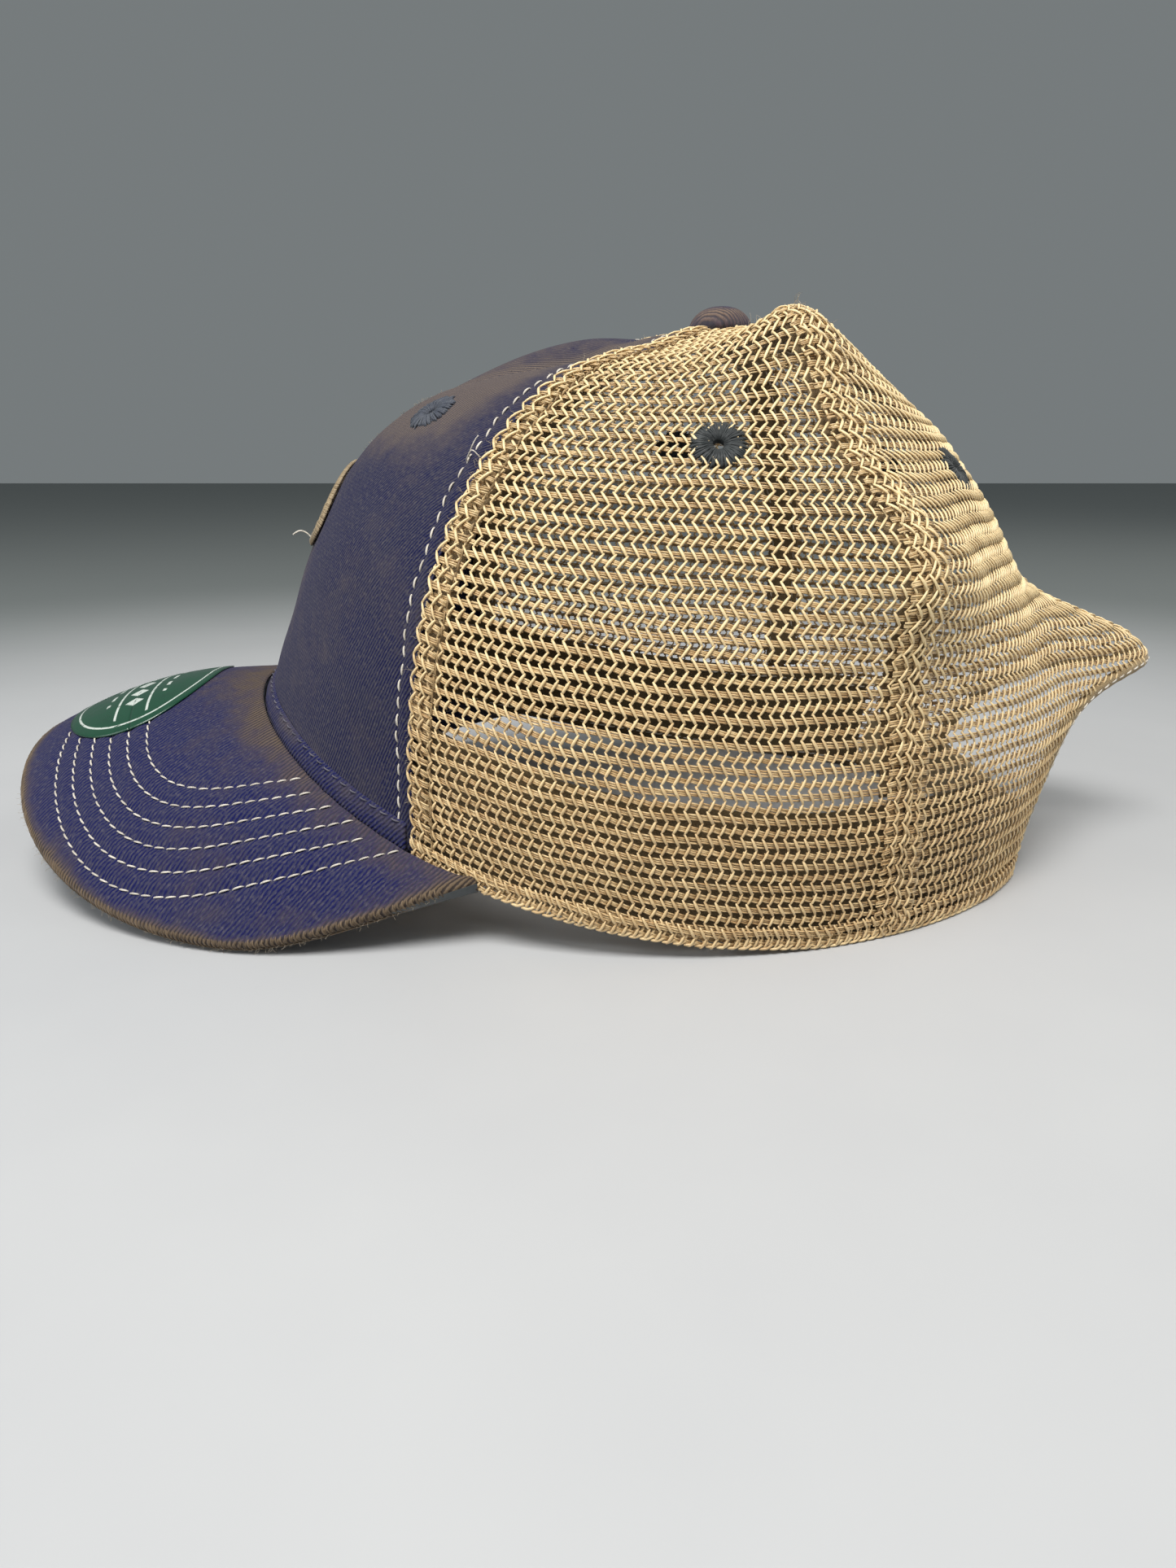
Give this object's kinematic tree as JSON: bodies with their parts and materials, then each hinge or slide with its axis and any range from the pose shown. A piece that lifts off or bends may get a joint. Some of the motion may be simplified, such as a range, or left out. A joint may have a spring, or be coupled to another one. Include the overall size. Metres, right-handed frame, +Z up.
{
  "type": "trucker mesh cap",
  "caption": "Soft trucker cap with twill front panels, open mesh sides and back, a curved brim and a snap strap across the arch at the back.",
  "frame": {"origin": "middle of the bounding box, on the surface that the back hem rests on", "axes": "+Z up, the brim points along -Y, the wearer's left is +X"},
  "size_m": [0.1686, 0.2975, 0.1345],
  "materials": {
    "indigo_twill": "washed cotton twill, faded indigo, matt",
    "khaki_mesh": "open knitted polyester mesh, khaki, soft sheen",
    "arch_binding": "folded twill binding, matt",
    "brim_board": "moulded polyethylene board, matt",
    "sweatband": "cotton twill sweatband, matt",
    "seam_tape": "plain woven cotton tape, matt",
    "button_cover": "twill stretched over a dome, worn brown on top",
    "button_metal": "pressed aluminium, dull",
    "eyelet_thread": "satin-stitched thread, charcoal",
    "embroidery_thread": "satin-stitched thread, tan, slight sheen",
    "brim_sticker": "thin printed film, semi gloss",
    "snap_plastic": "moulded flexible plastic, satin"
  },
  "bodies": {
    "crown": {"front_panel_left": "indigo_twill", "front_panel_right": "indigo_twill", "side_mesh_left": "khaki_mesh", "side_mesh_right": "khaki_mesh", "back_mesh_left": "khaki_mesh", "back_mesh_right": "khaki_mesh", "arch_binding": "arch_binding", "brim_board": "brim_board", "brim_top_cover": "indigo_twill", "brim_under_cover": "indigo_twill", "brim_seam_strip": "indigo_twill", "sweatband": "sweatband", "centre_seam_tape": "seam_tape", "left_seam_tape": "seam_tape", "right_seam_tape": "seam_tape", "top_button_cover": "button_cover", "top_button_shell": "button_metal", "top_button_back": "button_metal", "front_eyelets": "eyelet_thread", "side_eyelets": "eyelet_thread", "back_eyelets": "eyelet_thread", "front_embroidery": "embroidery_thread", "brim_sticker": "brim_sticker", "hole_strap_tab": "snap_plastic", "peg_strap_tab": "snap_plastic"},
    "outer_strap": {"hole_strap": "snap_plastic"},
    "inner_strap": {"peg_strap": "snap_plastic"}
  },
  "joints": [
    {"name": "outer_strap_swing", "type": "hinge", "parent": "crown", "child": "outer_strap", "pos_m": [0.031, 0.104, 0.01], "axis": [0, 0, -1], "range_deg": [0, 65]},
    {"name": "inner_strap_swing", "type": "hinge", "parent": "crown", "child": "inner_strap", "pos_m": [-0.031, 0.1027, 0.01], "axis": [0, 0, -1], "range_deg": [0, 30]}
  ]
}
